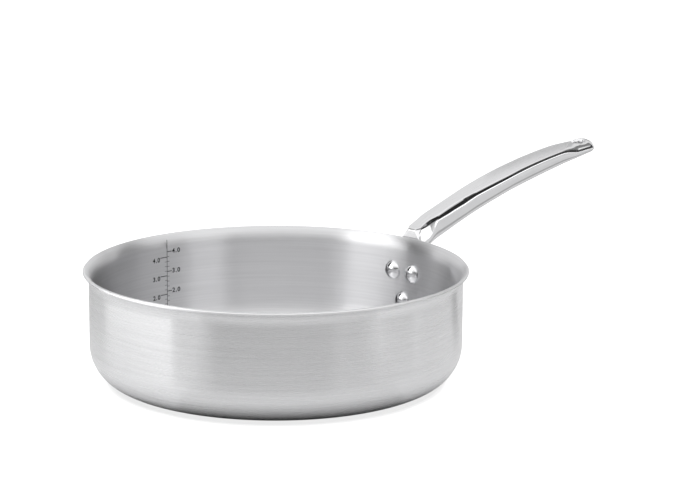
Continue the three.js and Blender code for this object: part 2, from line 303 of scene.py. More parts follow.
def rivet_profile():
    """Inner head, shank and outer head in one line from the inner top to the outer top."""
    wall_at_rim = math.sqrt(INNER_RADIUS ** 2 - INNER_HEAD_RADIUS ** 2)
    inner_face = wall_at_rim - INNER_HEAD_HEIGHT - HEAD_SKIRT
    inner_seat = INNER_RADIUS
    flange_face = FLANGE_RADIUS + FLANGE_THICKNESS
    outer_seat = flange_face - FIT_GAP
    outer_face = flange_face + FIT_GAP + OUTER_HEAD_HEIGHT
    inner = head(INNER_HEAD_RADIUS, INNER_HEAD_HEIGHT, inner_seat, inner_face)[::-1]
    outer = head(OUTER_HEAD_RADIUS, OUTER_HEAD_HEIGHT, outer_seat, outer_face)
    shank = [[SHANK_RADIUS, inner_seat], [SHANK_RADIUS, outer_seat]]
    return np.concatenate([inner, shank, outer])

# %% Set the rivets
def middle_z(node):
    """Height of the middle of a CAD node's box."""
    return sum(corner.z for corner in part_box(node)) / 2


def rivet(node, turn):
    """The profile turned about a radius of the pan: its axis goes from +Z to that radius."""
    profile = rivet_profile()
    rings = turned(profile[1:-1], RIVET_SIDES)
    ends = np.array([[0, 0, profile[0, 1]], [0, 0, profile[-1, 1]]])
    c, s = math.cos(turn), math.sin(turn)
    onto_radius = np.array([[0, -s, c], [0, c, s], [-1, 0, 0]])
    place = np.array([0, 0, middle_z(node)])
    rings, ends = (points @ onto_radius.T + place for points in (rings, ends))
    piece = ring_piece(node + "_set", rings, ends)
    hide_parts(node)
    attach(piece, "root")
    return piece


half_turn = RIVET_SPACING / 2 / WALL_RADIUS
rivets = [
    rivet("rivet_upper_left", half_turn),
    rivet("rivet_upper_right", -half_turn),
    rivet("rivet_lower", 0.0),
]

# %% [markdown]
# ## The lines of the handle
#
# The handle is one casting. It starts as a flange on the wall, passes up outside the lip,
# folds over and runs out as an arched grip to a round tip. Two lines in the pan's middle plane
# describe it: the pan's side, which becomes the top of the grip, and the far side, which
# becomes its belly. Both are worked out at the same list of stations, so a section can be
# stretched between each pair of points.
#
# On the flange both lines are upright. On the neck the pan's side follows straight runs round
# the lip, and the far side is one quadratic curve. On the grip the top is a parabola with a
# known slope at either end, and the belly lies square below it.

# %% Handle sizes
UPPER_RIVET_Z = middle_z("rivet_upper_left")
LOWER_RIVET_Z = middle_z("rivet_lower")
FLANGE_EDGE = 2.5 * MM
LIP_CLEARANCE = 1.2 * MM
FOLD_RISE = 7.3 * MM
FLANGE_ROUND = OUTER_HEAD_RADIUS + FLANGE_EDGE
NECK_FOOT_Z = UPPER_RIVET_Z + OUTER_HEAD_RADIUS + FIT_GAP
NECK_X = LIP_EDGE_RADIUS + LIP_CLEARANCE
NECK_LEAN = 1.5 * MM
FOLD_Z = PAN_HEIGHT + FOLD_RISE
FOLD_POINTS = 12
TONGUE_DIP = 1.5 * MM
TONGUE_RUN = 22 * MM
TIP_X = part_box("handle")[1].x
GRIP_LENGTH = TIP_X - NECK_X
GRIP_START = 32 * MM
START_SHARE = GRIP_START / GRIP_LENGTH
ROOT_SLOPE = math.tan(math.radians(21.2))
TIP_SLOPE = math.tan(math.radians(2))
NECK_WIDTH = 17 * MM
GRIP_WIDTH = 22.5 * MM
ROOT_THICKNESS = 22.4 * MM
GRIP_THICKNESS = 18.4 * MM
TIP_THICKNESS = 11 * MM
TIP_EDGE = 3 * MM
NOSE_LENGTH = 50 * MM


def mix(a, b, share):
    """Straight blend from a to b."""
    return a + (b - a) * share


def eased(share):
    """Blend that starts and ends level: half a cosine wave."""
    return (1 - np.cos(math.pi * np.clip(share, 0, 1))) / 2


print(f"grip {GRIP_LENGTH / MM:.1f} mm long, fold {FOLD_RISE / MM:.1f} mm above the pan")

# %% Lines of the grip and the neck
def grip_lines(share):
    """Top and belly at a share of the grip's length: a parabola, and a point square below it.
    The root dips a little, which makes the low saddle behind the fold."""
    slope = mix(ROOT_SLOPE, TIP_SLOPE, share)
    rise = GRIP_LENGTH * share * (ROOT_SLOPE + (TIP_SLOPE - ROOT_SLOPE) * share / 2)
    rise -= TONGUE_DIP * (1 - eased(GRIP_LENGTH * share / TONGUE_RUN))
    top = np.stack([NECK_X + GRIP_LENGTH * share, FOLD_Z + rise], axis=-1)
    early = np.clip(2 * share, 0, 1)
    late = np.clip(2 * share - 1, 0, 1)
    thickness = mix(mix(ROOT_THICKNESS, GRIP_THICKNESS, early), TIP_THICKNESS, late ** 2)
    square = np.stack([slope, -np.ones_like(slope)], axis=-1) / np.hypot(slope, 1)[..., None]
    return top, top + thickness[..., None] * square


def along_polyline(corners, share):
    """Points at shares of the length of a line of straight runs."""
    corners = np.asarray(corners)
    length = np.concatenate([[0], np.cumsum(np.hypot(*np.diff(corners, axis=0).T))])
    at = np.asarray(share) * length[-1]
    return np.stack([np.interp(at, length, axis) for axis in corners.T], axis=-1)


def neck_lines(share):
    """Pan's side and far side of the neck at a share of the way from the flange to the grip:
    straight runs round the lip, and a quadratic curve from foot over knee to belly."""
    end_belly = grip_lines(np.array([START_SHARE]))[1][0]
    fold_run = grip_lines(np.linspace(NECK_LEAN / GRIP_LENGTH, START_SHARE, FOLD_POINTS))[0]
    round_lip = [(FLANGE_RADIUS, NECK_FOOT_Z), (FLANGE_RADIUS, LIP_FOOT), (NECK_X, LIP_EDGE_Z)]
    pan_side = along_polyline([*round_lip, *fold_run], share)
    slope = mix(ROOT_SLOPE, TIP_SLOPE, START_SHARE)
    foot = np.array([FLANGE_RADIUS + FLANGE_THICKNESS, NECK_FOOT_Z])
    knee = np.array([foot[0], end_belly[1] - (end_belly[0] - foot[0]) * slope])
    s = share[:, None]
    far_side = (1 - s) ** 2 * foot + 2 * s * (1 - s) * knee + s ** 2 * end_belly
    return pan_side, far_side

# %% Outline of the flange
def circle_half_width(z, centre):
    """Half width at height z of a circle of the flange's round."""
    return np.sqrt(np.clip(FLANGE_ROUND ** 2 - (z - centre) ** 2, 0, None))


def flange_half_width(z):
    """Half width of the flange: a line stretched round circles about the three rivets, which is
    a circle, a common tangent and a circle."""
    across, up = RIVET_SPACING / 2, UPPER_RIVET_Z - LOWER_RIVET_Z
    lean_cos, lean_sin = np.array([up, across]) / math.hypot(up, across)
    low = circle_half_width(z, LOWER_RIVET_Z)
    high = across + circle_half_width(z, UPPER_RIVET_Z)
    straight = (FLANGE_ROUND + (z - LOWER_RIVET_Z) * lean_sin) / lean_cos
    low_end = LOWER_RIVET_Z - FLANGE_ROUND * lean_sin
    high_end = UPPER_RIVET_Z - FLANGE_ROUND * lean_sin
    return np.where(z < low_end, low, np.where(z > high_end, high, straight))

# %% [markdown]
# ## Stations of the handle
#
# A sweep could carry one section along a path, but this casting changes all the way: a plate on
# the wall, a narrow neck like a gable at the fold, and a bar on the grip. So the handle is cut
# into stations, and each has its own two points, half width and section. Stations are closest
# where the form turns fastest, at the fold and round the tip.
#
# Straight runs meet in corners, and a casting has none, so both lines are averaged over a
# short length, which rounds every corner by about that much.

# %% Station table
FLANGE_ROWS = 66
NECK_ROWS = 108
GRIP_ROWS = 250
TIP_ROWS = 90
NOSE_ROWS = 70
CORNER_AVERAGE = 5
FLANGE_POLE = math.radians(4)
TIP_TURN = math.radians(88)


def averaged(values):
    """Moving average over a few stations, with both ends held."""
    half = CORNER_AVERAGE // 2
    padded = np.concatenate([
        2 * values[:1] - values[half:0:-1],
        values,
        2 * values[-1:] - values[-2:-2 - half:-1],
    ])
    total = np.cumsum(np.concatenate([np.zeros_like(padded[:1]), padded]), axis=0)
    return (total[CORNER_AVERAGE:] - total[:-CORNER_AVERAGE]) / CORNER_AVERAGE


turn = np.linspace(FLANGE_POLE, math.pi / 2, FLANGE_ROWS // 2)
flange_z = np.concatenate([
    LOWER_RIVET_Z - FLANGE_ROUND * np.cos(turn),
    np.linspace(LOWER_RIVET_Z, NECK_FOOT_Z, FLANGE_ROWS // 2 + 1)[1:],
])
neck_share = np.linspace(0, 1, NECK_ROWS + 2)[1:-1]
tip_round = GRIP_WIDTH / 2
tip_angle = np.linspace(0, TIP_TURN, TIP_ROWS)
nose_from = 1 - NOSE_LENGTH / GRIP_LENGTH
grip_share = np.concatenate([
    np.linspace(START_SHARE, nose_from, GRIP_ROWS),
    np.linspace(nose_from, 1 - tip_round / GRIP_LENGTH, NOSE_ROWS)[1:-1],
    1 - tip_round * (1 - np.sin(tip_angle)) / GRIP_LENGTH,
])
on_tip = np.concatenate([np.zeros(len(grip_share) - TIP_ROWS), tip_angle])
print(f"stations: flange {len(flange_z)}, neck {len(neck_share)}, grip {len(grip_share)}")

# %% Lines and widths at the stations
NECK_TAPER = 2.4
WIDEST_SHARE = 0.5

flange_top = np.stack([np.full_like(flange_z, FLANGE_RADIUS), flange_z], axis=-1)
neck_top, neck_under = neck_lines(neck_share)
grip_top, grip_under = grip_lines(grip_share)
keep = mix(TIP_EDGE / TIP_THICKNESS, 1, np.cos(on_tip))[:, None]
grip_top = grip_under + (grip_top - grip_under) * keep
top_line = averaged(np.concatenate([flange_top, neck_top, grip_top]))
flange_under = flange_top + [FLANGE_THICKNESS, 0]
under_line = averaged(np.concatenate([flange_under, neck_under, grip_under]))
thickness = np.hypot(*(top_line - under_line).T)
down = (under_line - top_line) / thickness[:, None]

foot_half_width = flange_half_width(np.array([NECK_FOOT_Z]))[0]
widening = eased((grip_share - START_SHARE) / (WIDEST_SHARE - START_SHARE))
grip_half_width = mix(NECK_WIDTH, GRIP_WIDTH, widening) / 2
half_width = np.concatenate([
    flange_half_width(flange_z),
    mix(foot_half_width, NECK_WIDTH / 2, eased(NECK_TAPER * neck_share)),
    grip_half_width * np.cos(on_tip),
])
bar = np.concatenate([np.zeros_like(flange_z), eased(neck_share), np.ones_like(grip_share)])
print(f"grip {2 * half_width[bar == 1].max() / MM:.1f} mm wide")

# %% [markdown]
# ## The handle's section
#
# A polished casting shows every flaw in its reflections, so the section has to turn smoothly.
# It is described by the way the surface faces. From the widest level upwards there is a tall
# side arc, then a tight edge arc, then the crown, each a circle arc that starts in the
# direction where the last one stopped. Below the widest level the belly is a superellipse.
# With circle arcs, the height and width at any facing angle are plain sines and cosines.
#
# The side arc is the facet under the top's edge, which shows as a dark band along the grip. It is
# tall near the pan and thins towards the tip, so its bend is a short table over the distance
# from the fold. At the nose the edge arc opens wide and the facet fades, so the top rolls down
# to a low round edge.

# %% Bends of the section at each station
FACET_TILT = math.radians(25)
PLATE_BEND = 0.8 * MM
PLATE_CROWN_BEND = 5.0
BAR_EASE = 1.6
EDGE_BEND = 0.7 * MM
CROWN_BEND = 30 * MM
NOSE_RUN = 24 * MM
NOSE_EDGE = 11 * MM
NOSE_FACET = 2.2 * MM
PLATE_POWER = 8
BELLY_POWER = 2.7
FACET_REACH = np.array([0, 10, 22, 36, 55, 69, 86, 112, 139, 220]) * MM
FACET_BEND = np.array([4, 6, 11, 14.5, 15, 10.5, 9.6, 7.6, 6, 4.2]) * MM

travel = np.concatenate([[0], np.cumsum(np.hypot(*np.diff(top_line, axis=0).T))])
fold_x = NECK_X + NECK_LEAN
fold_z = grip_lines(np.array([NECK_LEAN / GRIP_LENGTH]))[0][0, 1]
fold_at = travel[np.argmin(np.hypot(top_line[:, 0] - fold_x, top_line[:, 1] - fold_z))]
past_fold = np.clip(travel - fold_at, 0, None)
nose = eased((NOSE_LENGTH - (TIP_X - top_line[:, 0])) / NOSE_RUN)
shrink = np.where(top_line[:, 0] > TIP_X - tip_round, half_width / tip_round, 1.0)

edge_bend = shrink * mix(EDGE_BEND, NOSE_EDGE, nose)
facet_bend = mix(np.interp(past_fold, FACET_REACH, FACET_BEND), NOSE_FACET, nose)
side_bend = shrink * mix(PLATE_BEND, facet_bend, eased(BAR_EASE * bar))
crown_bend = shrink / mix(1 / PLATE_CROWN_BEND, 1 / CROWN_BEND, bar)
belly_power = mix(PLATE_POWER, BELLY_POWER, eased(BAR_EASE * bar))
print(f"fold at {fold_at / MM:.0f} mm along the casting, nose of {int((nose > 0).sum())} stations")

# %% Section of the bar
DROP_LIMIT = 0.8
SIDE_POINTS = 18
EDGE_COLUMNS = 8
CROWN_POINTS = 24
BELLY_POINTS = 22


def spread(start, end, count):
    """Evenly spaced values between two arrays of station values, one row a station."""
    share = np.linspace(0, 1, count)
    return start[:, None] + (end - start)[:, None] * share


def belly_points(half, level):
    """Superellipse quarter from the bottom's middle to the widest level."""
    swing = np.linspace(-math.pi / 2, 0, BELLY_POINTS)
    power = 2 / belly_power[:, None]
    sunk = np.abs(np.sin(swing)) ** power
    return half * np.cos(swing) ** power, level + (thickness[:, None] - level) * sunk


def bar_section():
    """Right half of a bar's section, from belly to crown: distance from the middle plane and
    depth below the top. A circle arc of bend R turned from tilt a to t moves in by
    R (cos a - cos t) and up by R (sin t - sin a)."""
    side, edge, crown = (bend[:, None] for bend in (side_bend, edge_bend, crown_bend))
    half, tilt = half_width[:, None], FACET_TILT
    inset = half - side * (1 - math.cos(tilt)) - edge * math.cos(tilt)
    crown_tilt = np.arccos(np.clip(inset / (crown - edge), 0, 1))
    edge_drop = edge * (np.sin(crown_tilt) - math.sin(tilt))
    drop = side * math.sin(tilt) + edge_drop + crown * (1 - np.sin(crown_tilt))
    flatten = np.minimum(1, DROP_LIMIT * thickness[:, None] / drop)
    belly = belly_points(half, drop * flatten)
    a = np.linspace(0, tilt, SIDE_POINTS)[1:]
    flank = half - side * (1 - np.cos(a)), drop - side * np.sin(a)
    b = spread(np.full_like(thickness, tilt), crown_tilt[:, 0], EDGE_COLUMNS)[:, 1:]
    rim = (flank[0][:, -1:] - edge * (math.cos(tilt) - np.cos(b)),
           flank[1][:, -1:] - edge * (np.sin(b) - math.sin(tilt)))
    c = spread(crown_tilt[:, 0], np.full_like(thickness, math.pi / 2), CROWN_POINTS)[:, 1:]
    cap = crown * np.cos(c), crown * (1 - np.sin(c))
    out = np.concatenate([belly[0], flank[0], rim[0], cap[0]], axis=1)
    upper = flatten * np.concatenate([flank[1], rim[1], cap[1]], axis=1)
    return out, np.concatenate([belly[1], upper], axis=1)

# %% [markdown]
# ## The neck
#
# Where the grip leaves the pan, its top narrows to a tongue a few millimetres wide. Under the
# tongue a low brow falls steeply, and below the brow two hips spread out to the full width, so
# that the neck looks like a gable from the pan. The width is therefore worked out from a
# point's place, and not from its station: the further a point is below the fold or beyond it,
# the wider the neck may be there. On the way up from the flange and out along the grip, this
# section is blended with the bar's.

# %% Section of the neck
TONGUE_HALF = 1.6 * MM
BROW_HEIGHT = 1.0 * MM
BROW_GROWTH = 0.12
BROW_SPREAD = 0.27
HIP_SPREAD = 1.05
SIDE_DRAFT = 0.15
POST_EDGE = 0.6 * MM
POST_CROWN = 0.3 * MM
POST_FOOT = 0.62


def neck_half_width(x, z, side):
    """Half width of the neck at a place: the tongue, plus a steep brow, plus a hip that spreads
    downwards and away from the pan until it meets the side."""
    past = np.clip(x - fold_x, 0, None)
    sunk = np.clip(fold_z + ROOT_SLOPE * past - z, 0, None)
    brow_height = BROW_HEIGHT + BROW_GROWTH * past
    brow = BROW_SPREAD * np.minimum(sunk, brow_height)
    hip = HIP_SPREAD * np.clip(sunk - brow_height, 0, None)
    capped = side - BROW_SPREAD * np.clip(brow_height - sunk, 0, None)
    return np.minimum(TONGUE_HALF + brow + hip + np.clip(x - NECK_X, 0, None), capped)


def post_section():
    """Right half of a section through the neck: a slight crown, a quarter circle over its edge,
    and down a side that follows the neck's half width."""
    foot = POST_FOOT * thickness[:, None]
    drop = POST_CROWN * np.minimum(1, 2 * TONGUE_HALF / half_width[:, None]) ** 2
    shoulder = POST_EDGE + drop
    deep_side = shoulder + (foot - shoulder) * np.linspace(1, 0, SIDE_POINTS) ** 2
    on_neck = (travel > fold_at)[:, None]
    flank = half_width[:, None] - np.where(on_neck, SIDE_DRAFT * (foot - deep_side), 0)
    x, z = (top_line[:, i:i + 1] + down[:, i:i + 1] * deep_side for i in (0, 1))
    side = neck_half_width(x, z, flank)
    belly = belly_points(side[:, :1], foot)
    turn = np.linspace(math.pi / 2, 0, EDGE_COLUMNS)[1:]
    rim = side[:, -1:] - POST_EDGE * (1 - np.sin(turn)), drop + POST_EDGE * (1 - np.cos(turn))
    share = np.linspace(1, 0, CROWN_POINTS)[1:]
    cap = rim[0][:, -1:] * share
    out = np.concatenate([belly[0], side[:, 1:], rim[0], cap], axis=1)
    deep = np.concatenate([belly[1], deep_side[:, 1:], rim[1], drop * share ** 2], axis=1)
    return out, deep

# %% Rings of the handle
POST_RISE = 0.45
POST_HOLD = 11 * MM
POST_FADE = 14 * MM

before_fold = np.clip((fold_at - travel) / (fold_at - travel[FLANGE_ROWS]), 0, 1)
up_neck = 1 - eased((before_fold - POST_RISE) / POST_RISE)
post = (up_neck * (1 - eased((past_fold - POST_HOLD) / POST_FADE)))[:, None]
right, depth = (mix(*forms, post) for forms in zip(bar_section(), post_section()))
across = np.concatenate([right, -right[:, -2:0:-1]], axis=1)
depth = np.concatenate([depth, depth[:, -2:0:-1]], axis=1)
follow_wall = (1 - bar)[:, None] * (FLANGE_RADIUS - np.sqrt(FLANGE_RADIUS ** 2 - across ** 2))
handle_rings = np.stack([
    top_line[:, :1] + down[:, :1] * depth - follow_wall,
    across,
    top_line[:, 1:] + down[:, 1:] * depth,
], axis=-1)
print("handle rings:", handle_rings.shape)

# %% [markdown]
# ## The hanging eye
#
# The tip has an oval eye to hang the pan by. A Boolean cut leaves a knife edge, and a Bevel
# after it trips over the small faces that the cut makes. So the rim is rolled first: points
# near the oval sink along a quarter circle, on the top and on the belly. Then a straight oval
# cutter takes out the middle, and its wall meets the rolled rim without an edge.

# %% Roll the rim of the eye
EYE_LENGTH = 14 * MM
EYE_WIDTH = 10 * MM
EYE_TO_TIP = 17 * MM
EYE_ROLL = 3.2 * MM
EYE_SIDES = 96
OVAL_FLOOR = 0.2

eye_x = TIP_X - EYE_TO_TIP
off_eye = np.stack([handle_rings[..., 0] - eye_x, handle_rings[..., 1]], axis=-1)
oval = np.hypot(off_eye[..., 0] / (EYE_LENGTH / 2), off_eye[..., 1] / (EYE_WIDTH / 2))
to_rim = np.hypot(off_eye[..., 0], off_eye[..., 1]) * (1 - 1 / np.maximum(oval, OVAL_FLOOR))
into_roll = np.clip(EYE_ROLL - to_rim, 0, EYE_ROLL)
sink = EYE_ROLL - np.sqrt(EYE_ROLL ** 2 - into_roll ** 2)
is_top = depth < thickness[:, None] / 2
near_tip = handle_rings[..., 0] > TIP_X - NOSE_LENGTH
handle_rings[..., 2] += np.where(near_tip, np.where(is_top, -sink, sink), 0)
print(f"{int((sink[near_tip] > 0).sum())} points rolled into the eye")

# %% Skin the handle
BRUSHED, POLISHED = 0, 1
BRUSH_END = 29 * MM

ends = handle_rings[[0, -1]].mean(axis=1)
handle = ring_piece("handle_cast", handle_rings, ends, along_rings=True)
columns = across.shape[1]
last_rim_column = BELLY_POINTS + (SIDE_POINTS - 1) + (EDGE_COLUMNS - 1) - 1
column = np.arange(columns)
past_rim = column - last_rim_column
on_crown = (past_rim >= 0) & (past_rim < 2 * (CROWN_POINTS - 1))
on_grip = (travel >= fold_at) & (top_line[:, 0] < TIP_X - BRUSH_END)
finish = np.where(on_grip[:-1, None] & on_crown[None, :], BRUSHED, POLISHED).ravel()
finish = np.concatenate([finish, np.full(2 * columns, POLISHED)]).astype(np.int32)
print("brushed faces on the grip:", int((finish == BRUSHED).sum()))

# %% Cutter for the eye
CUTTER_REACH = 3 * TIP_THICKNESS


def oval_cutter(depth_range):
    """Rings of an upright oval prism through the tip."""
    turn = np.linspace(0, 2 * math.pi, EYE_SIDES, endpoint=False)
    oval_x, oval_y = eye_x + EYE_LENGTH / 2 * np.cos(turn), EYE_WIDTH / 2 * np.sin(turn)
    rings = [np.stack([oval_x, oval_y, np.full_like(turn, z)], axis=-1) for z in depth_range]
    rings = np.stack(rings)
    return ring_piece("eye_cutter", rings, [(eye_x, 0, z) for z in depth_range])


tip_z = np.interp(eye_x, *top_line[-TIP_ROWS - NOSE_ROWS:].T)
cutter = oval_cutter((tip_z - CUTTER_REACH, tip_z + CUTTER_REACH))

# %% [markdown]
# ## Brushed and polished steel
#
# Brushing leaves fine scratches that all run one way. Across them the steel faces in many
# directions, and along them in few, so a reflection is smeared across the scratches. That is
# what the Anisotropic value does: it stretches highlights along the surface's U direction. On
# the vessel U runs up the wall, square to scratches that ring the pan, and on the grip it runs
# across, square to scratches along the handle.
#
# The scratches themselves come from a noise that is squeezed thin in one direction. On the
# vessel that direction is the radius plus the height, which grows steadily from the middle of
# the base to the lip, so the lines close into rings with no seam.
#
# Nodes are wired by small helpers, each of which adds one node to a tree and gives back its
# result.

# %% Helpers for nodes
def new_finish(name):
    """A new material, its node tree and its shader."""
    material = bpy.data.materials.new(name)
    material.use_nodes = True
    tree = material.node_tree
    return material, tree, tree.nodes["Principled BSDF"]


def feed(tree, sockets, values):
    """Links each socket to a value that is a socket, or sets it to a plain value."""
    for socket, value in zip(sockets, values):
        if isinstance(value, bpy.types.NodeSocket):
            tree.links.new(value, socket)
        else:
            socket.default_value = value


def maths(tree, operation, *values):
    """A Math node of two values, each a socket or a number."""
    node = tree.nodes.new("ShaderNodeMath")
    node.operation = operation
    feed(tree, node.inputs, values)
    return node.outputs["Value"]


def vector_maths(tree, operation, *values):
    """A Vector Math node; a length or a dot product is a number, the rest are vectors."""
    node = tree.nodes.new("ShaderNodeVectorMath")
    node.operation = operation
    feed(tree, node.inputs, values)
    return node.outputs["Value" if operation in ("LENGTH", "DOT_PRODUCT") else "Vector"]


def axes(tree, vector):
    """The X, Y and Z of a vector."""
    split = tree.nodes.new("ShaderNodeSeparateXYZ")
    tree.links.new(vector, split.inputs["Vector"])
    return split.outputs


def map_range(tree, value, source, target, interpolation="LINEAR"):
    """A Map Range node that takes one span of values to another."""
    node = tree.nodes.new("ShaderNodeMapRange")
    node.interpolation_type = interpolation
    for name, limit in zip(("From Min", "From Max", "To Min", "To Max"), (*source, *target)):
        node.inputs[name].default_value = limit
    tree.links.new(value, node.inputs["Value"])
    return node.outputs["Result"]

# %% Helpers for scratches
NOISE_SPAN = 0.3, 0.7
NOISE_DETAIL = 3


def object_vector(tree):
    """Plain Object place."""
    return tree.nodes.new("ShaderNodeTexCoord").outputs["Object"]


def ring_vector(tree):
    """Object place with its height replaced by radius plus height, so that noise can be squeezed
    along the rings."""
    place = object_vector(tree)
    radius = vector_maths(tree, "LENGTH", vector_maths(tree, "MULTIPLY", place, (1, 1, 0)))
    x, y, z = axes(tree, place)
    join = tree.nodes.new("ShaderNodeCombineXYZ")
    feed(tree, join.inputs, (x, y, maths(tree, "ADD", radius, z)))
    return join.outputs["Vector"]


def scratches(tree, vector, scale):
    """Noise read at a vector that is scaled by a given amount on each axis."""
    mapping = tree.nodes.new("ShaderNodeMapping")
    mapping.inputs["Scale"].default_value = scale
    tree.links.new(vector, mapping.inputs["Vector"])
    noise = tree.nodes.new("ShaderNodeTexNoise")
    noise.inputs["Scale"].default_value = 1
    noise.inputs["Detail"].default_value = NOISE_DETAIL
    tree.links.new(mapping.outputs["Vector"], noise.inputs["Vector"])
    return noise.outputs["Fac"]


def shade_of(tree, value, colour, swing):
    """A colour that a noise makes up to `swing` darker or lighter."""
    tint = tree.nodes.new("ShaderNodeMix")
    tint.data_type = "RGBA"
    tree.links.new(map_range(tree, value, NOISE_SPAN, (0, 1)), tint.inputs["Factor"])
    tint.inputs["A"].default_value = [c * (1 - swing) for c in colour] + [1]
    tint.inputs["B"].default_value = [min(1, c * (1 + swing)) for c in colour] + [1]
    return tint.outputs["Result"]

# %% Brushed rings and brushed lengths
BRUSHED_SWING = 0.035
SCRATCH_STRENGTH = 0.008
SCRATCH_DEPTH = 0.05 * MM
RINGS_FINE, RINGS_BROAD = (14, 14, 4200), (9, 9, 520)
LENGTHS_FINE, LENGTHS_BROAD = (35, 3600, 35), (16, 700, 16)


def brushed_steel(name, colour, roughness, anisotropy, vector_of, fine, broad):
    """Brushed steel: fine scratches change the roughness and the relief, broad ones the shade."""
    material, tree, shader = new_finish(name)
    vector = vector_of(tree)
    fine_lines = scratches(tree, vector, fine)
    broad_lines = scratches(tree, vector, broad)
    bump = tree.nodes.new("ShaderNodeBump")
    bump.inputs["Strength"].default_value = SCRATCH_STRENGTH
    bump.inputs["Distance"].default_value = SCRATCH_DEPTH
    tree.links.new(fine_lines, bump.inputs["Height"])
    tangent = tree.nodes.new("ShaderNodeTangent")
    tangent.direction_type = "UV_MAP"
    tangent.uv_map = "grain"
    shader.inputs["Metallic"].default_value = 1
    shader.inputs["Anisotropic"].default_value = anisotropy
    for socket, value in {
        "Base Color": shade_of(tree, broad_lines, colour, BRUSHED_SWING),
        "Roughness": map_range(tree, fine_lines, NOISE_SPAN, roughness),
        "Normal": bump.outputs["Normal"],
        "Tangent": tangent.outputs["Tangent"],
    }.items():
        tree.links.new(value, shader.inputs[socket])
    return material


colours = {row["slot"]: row["base_color"] for row in frame["record"]["materials"]}
rings = ring_vector, RINGS_FINE, RINGS_BROAD
lengths = object_vector, LENGTHS_FINE, LENGTHS_BROAD
skin_finish = brushed_steel("outer_brushed", colours["outer_steel"], (0.25, 0.29), 1.0, *rings)
liner_finish = brushed_steel("inner_brushed", colours["inner_steel"], (0.31, 0.35), 1.0, *rings)
core_finish = brushed_steel("core_cut", colours["core_aluminium"], (0.35, 0.45), 0.3, *rings)
grip_finish = brushed_steel("grip_brushed", colours["cast_steel"], (0.26, 0.34), 0.7, *lengths)
for steel in (skin_finish, liner_finish, core_finish, grip_finish):
    print("brushed finish:", steel.name)

# %% [markdown]
# The handle's sides and the rivets are buffed until no scratch is seen. A mirror with no flaw
# at all looks like a drawing, so a soft noise dulls it a little here and there, as wiping does.

# %% Polished steel
WIPED_SWING = 0.015
WIPING_SCALE = 90, 220, 160


def polished_steel(name, colour, roughness):
    """Polished steel: a bright mirror, dulled here and there by faint wiping marks."""
    material, tree, shader = new_finish(name)
    marks = scratches(tree, object_vector(tree), WIPING_SCALE)
    tree.links.new(map_range(tree, marks, NOISE_SPAN, roughness), shader.inputs["Roughness"])
    tree.links.new(shade_of(tree, marks, colour, WIPED_SWING), shader.inputs["Base Color"])
    shader.inputs["Metallic"].default_value = 1
    return material


cast_polish = polished_steel("cast_polished", colours["cast_steel"], (0.06, 0.1))
rivet_polish = polished_steel("rivet_polished", colours["rivet_steel"], (0.03, 0.06))
print("polished finishes:", cast_polish.name, "and", rivet_polish.name)

# %% Dress the vessel and the rivets
def dress(piece, slot, *materials):
    """Gives a piece its finishes. The slot is not used."""
    for material in materials:
        piece.data.materials.append(material)


dress(outer_skin, "outer_steel", skin_finish)
dress(aluminium_core, "core_aluminium", core_finish)
dress(inner_liner, "inner_steel", liner_finish)
for piece in rivets:
    dress(piece, "rivet_steel", rivet_polish)
print("dressed the three plies and", len(rivets), "rivets")

# %% [markdown]
# The handle and its cutter carry the same two finishes, so that the wall of the eye comes out
# polished when the cut is made. The cut is applied at once, because a live Boolean would need
# its cutter to stay in the scene.

# %% Dress the handle and cut the eye
SHARP_FROM = math.radians(50)

for piece in (handle, cutter):
    piece.data.materials.append(grip_finish)
    piece.data.materials.append(cast_polish)
handle.data.polygons.foreach_set("material_index", finish)
all_polished = np.full(len(cutter.data.polygons), POLISHED, dtype=np.int32)
cutter.data.polygons.foreach_set("material_index", all_polished)

cut = handle.modifiers.new("eye", "BOOLEAN")
cut.object = cutter
cut.operation = "DIFFERENCE"
cut.solver = "EXACT"
bpy.context.view_layer.update()
evaluated = handle.evaluated_get(bpy.context.evaluated_depsgraph_get())
cut_mesh = bpy.data.meshes.new_from_object(evaluated)
handle.modifiers.remove(cut)
handle.data = cut_mesh
bpy.data.objects.remove(cutter)
handle.data.set_sharp_from_angle(angle=SHARP_FROM)
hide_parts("handle")
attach(handle, "root")
cut_volume = enclosed_volume(cut_mesh) / CM3
print(f"handle after the cut: {len(cut_mesh.polygons)} faces, {cut_volume:.1f} cm3")

# %% [markdown]
# ## The volume scale
#
# Inside the wall a scale is etched: an upright line with long and short marks on either side,
# and plain numbers for litres and quarts. An image would be the usual way to print it, but
# the marks are few, so they are thin raised plates. Each is drawn flat, with one axis along
# the wall and one up it, and then wrapped onto the cylinder. Text becomes a mesh first, and
# its points are wrapped by the same function.

# %% Draw the scale flat
SCALE_TURN = math.radians(85)
MARK_LIFT = 0.05 * MM
STEPS_ALONG_MARK = 9
NUMBER_SIZE = 5.1 * MM
NUMBER_WEIGHT = 0.15 * MM
NUMBER_SPACING = 1.25


def wrapped(along, height):
    """Flat place onto the inner wall: the distance along becomes an angle, seen from inside."""
    turn = SCALE_TURN - np.asarray(along) / INNER_RADIUS
    reach = INNER_RADIUS - MARK_LIFT
    return np.stack([reach * np.cos(turn), reach * np.sin(turn), np.asarray(height)], axis=-1)


def strip(left, right, low, high):
    """Points and faces of one straight mark: two rows of points, joined in fours."""
    along, height = np.meshgrid(np.linspace(left, right, STEPS_ALONG_MARK), [low, high])
    index = np.arange(2 * STEPS_ALONG_MARK).reshape(2, -1)
    corners = index[0, :-1], index[0, 1:], index[1, 1:], index[1, :-1]
    return wrapped(along, height).reshape(-1, 3), np.stack(corners, axis=-1).tolist()


